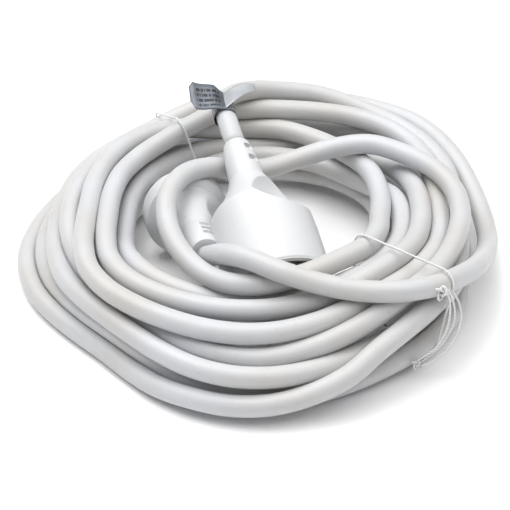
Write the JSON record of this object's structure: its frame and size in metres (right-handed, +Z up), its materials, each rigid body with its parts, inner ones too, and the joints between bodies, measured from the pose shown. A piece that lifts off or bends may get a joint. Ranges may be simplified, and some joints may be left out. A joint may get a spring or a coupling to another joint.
{
  "type": "extension cord",
  "caption": "Coiled white earthed extension cord with a moulded plug and a moulded coupler socket, tied with twine and carrying a foil flag.",
  "frame": {"origin": "on the floor under the centre of the coil", "axes": "+Z up, +Y from the socket's face towards its cord, +X to the side where the plug's lead is tied"},
  "size_m": [0.2058, 0.2057, 0.0568],
  "materials": {
    "cord": "satin extruded vinyl",
    "string": "clear white twine",
    "label": "silver foil film",
    "moulding": "smooth satin moulded vinyl",
    "insert": "hard moulded thermoplastic",
    "brass": "stamped",
    "nickel": "nickel plated",
    "core_brown": "smooth",
    "core_blue": "smooth",
    "core_green": "smooth"
  },
  "bodies": {
    "root": {"cord_coil": "cord", "cord_inner_loop": "cord", "cord_socket_lead": "cord", "cord_plug_lead": "cord", "socket_cord_end": "cord", "plug_cord_end": "cord", "tie_left": "string", "tie_right": "string", "tie_right_tails": "string", "label_flag": "label", "socket_body": "moulding", "socket_strain_relief": "moulding", "plug_body": "moulding", "plug_strain_relief": "moulding", "socket_insert": "insert", "socket_insert_cap": "insert", "plug_pin_bridge": "insert", "socket_contact_live": "brass", "socket_contact_neutral": "brass", "socket_earth_bracket": "nickel", "plug_pin_live": "nickel", "plug_pin_neutral": "nickel", "plug_earth_strip": "nickel", "plug_earth_sleeve": "nickel", "socket_core_live": "core_brown", "plug_core_live": "core_brown", "socket_core_neutral": "core_blue", "plug_core_neutral": "core_blue", "socket_core_earth": "core_green", "plug_core_earth": "core_green"}
  },
  "joints": []
}
